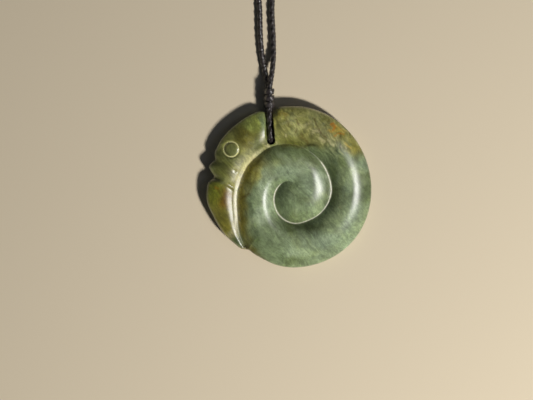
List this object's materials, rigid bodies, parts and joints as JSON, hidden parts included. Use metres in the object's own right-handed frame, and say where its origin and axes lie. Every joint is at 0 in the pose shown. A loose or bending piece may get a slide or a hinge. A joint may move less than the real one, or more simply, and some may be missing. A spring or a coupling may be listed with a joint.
{
  "type": "koropepe pendant on a neck cord",
  "caption": "Coiled creature carved from one flat green stone, hung on a plaited black cord with a wrapped knot, lying on its back with the whole necklace laid out.",
  "frame": {"origin": "middle of the stone's outline on its flat back", "axes": "+Z out of the carved face, +Y towards the cord hole and the necklace, +X to the right of the face, away from the creature's head"},
  "size_m": [0.1408, 0.3021, 0.0077],
  "materials": {
    "greenstone": "polished nephrite, slightly translucent",
    "waxed_cord": "plaited and waxed"
  },
  "bodies": {
    "root": {"carved_stone": "greenstone", "neck_cord": "waxed_cord", "bail_knot": "waxed_cord", "closure_knot": "waxed_cord"}
  },
  "joints": []
}
